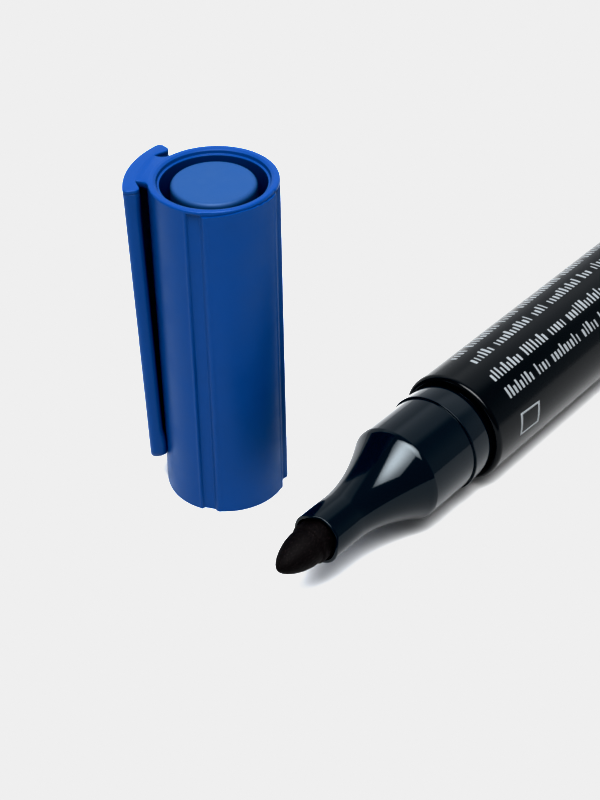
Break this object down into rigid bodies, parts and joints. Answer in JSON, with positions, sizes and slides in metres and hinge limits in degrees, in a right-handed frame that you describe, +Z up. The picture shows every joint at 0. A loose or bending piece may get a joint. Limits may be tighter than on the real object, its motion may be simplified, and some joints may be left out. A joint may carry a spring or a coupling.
{
  "type": "permanent marker",
  "caption": "Permanent marker with a round black barrel, a stepped nose and a bullet nib, lying beside its blue clip cap, which stands mouth down.",
  "frame": {"origin": "under the middle of the whole assembly, on the surface that it rests on", "axes": "+Z up; +X along the marker's axis, from the nib towards the tail; the cap stands on the +Y side of the nose"},
  "size_m": [0.1256, 0.0448, 0.049],
  "materials": {
    "barrel_black": "extruded polypropylene tube, satin black, with a pale grey print",
    "nose_black": "injection moulded polypropylene, polished blue-black",
    "nib_felt": "bonded polyester fibre soaked in black ink, matt with a few bright fibres",
    "reservoir_fibre": "bundled fibre soaked in ink",
    "reservoir_film": "thin clear film",
    "cap_blue": "injection moulded polypropylene, satin deep blue",
    "cup_blue": "injection moulded polypropylene, satin blue"
  },
  "bodies": {
    "marker": {"barrel": "barrel_black", "nose_section": "nose_black", "nib": "nib_felt", "ink_reservoir": "reservoir_fibre", "reservoir_film": "reservoir_film", "end_plug": "cap_blue"},
    "cap": {"cap_shell": "cap_blue", "cap_inner_cup": "cup_blue"},
    "clip": {"clip_arm": "cap_blue"}
  },
  "joints": [
    {"name": "cap_pull", "type": "slide", "parent": "marker", "child": "cap", "axis": [0, 0, 1], "range_m": [0, 0.04]},
    {"name": "clip_flex", "type": "hinge", "parent": "cap", "child": "clip", "pos_m": [-0.04937, 0.02051, 0.04655], "axis": [0.9219, 0.3875, 0], "range_deg": [0, 5], "stiffness_Nm_per_rad": 1}
  ]
}
